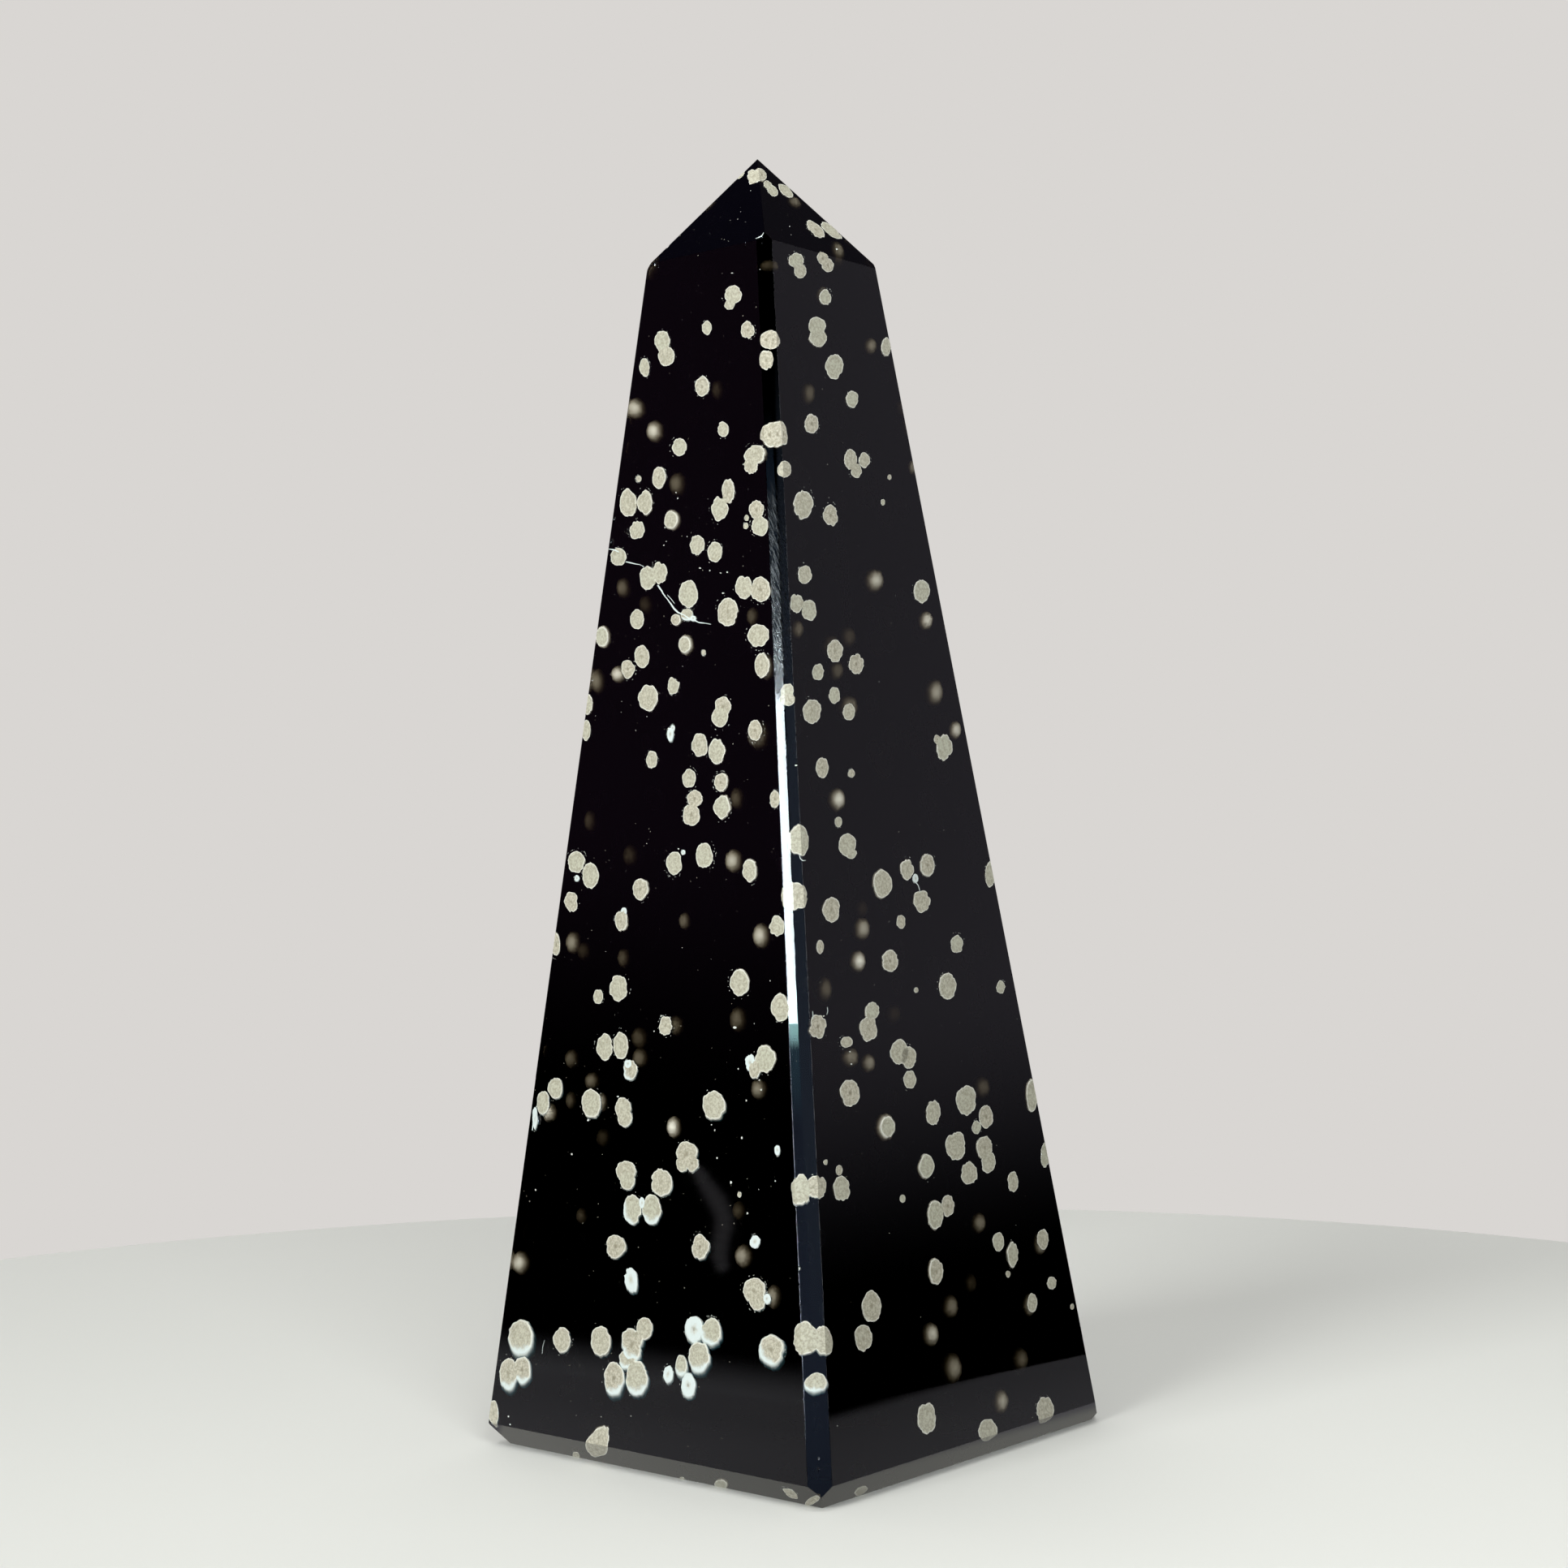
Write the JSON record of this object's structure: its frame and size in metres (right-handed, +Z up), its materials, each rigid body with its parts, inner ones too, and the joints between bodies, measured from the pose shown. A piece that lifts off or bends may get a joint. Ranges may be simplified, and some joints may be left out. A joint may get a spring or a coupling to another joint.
{
  "type": "obsidian obelisk",
  "caption": "Polished snowflake-obsidian obelisk: tapered square shaft with narrow flats on its long corners, a low pyramid tip and a bevel round the flat foot.",
  "frame": {"origin": "middle of the flat foot", "axes": "+Z up along the obelisk to its tip; the four tall faces look along -X, +X, -Y and +Y"},
  "size_m": [0.0342, 0.0342, 0.0999],
  "materials": {
    "obsidian": "black volcanic glass, wet polish, brown only where light passes through less than about a millimetre",
    "spherulite": "opaque grey-white cristobalite, ground flush with the glass and polished"
  },
  "bodies": {
    "root": {"obelisk": "obsidian"}
  },
  "joints": []
}
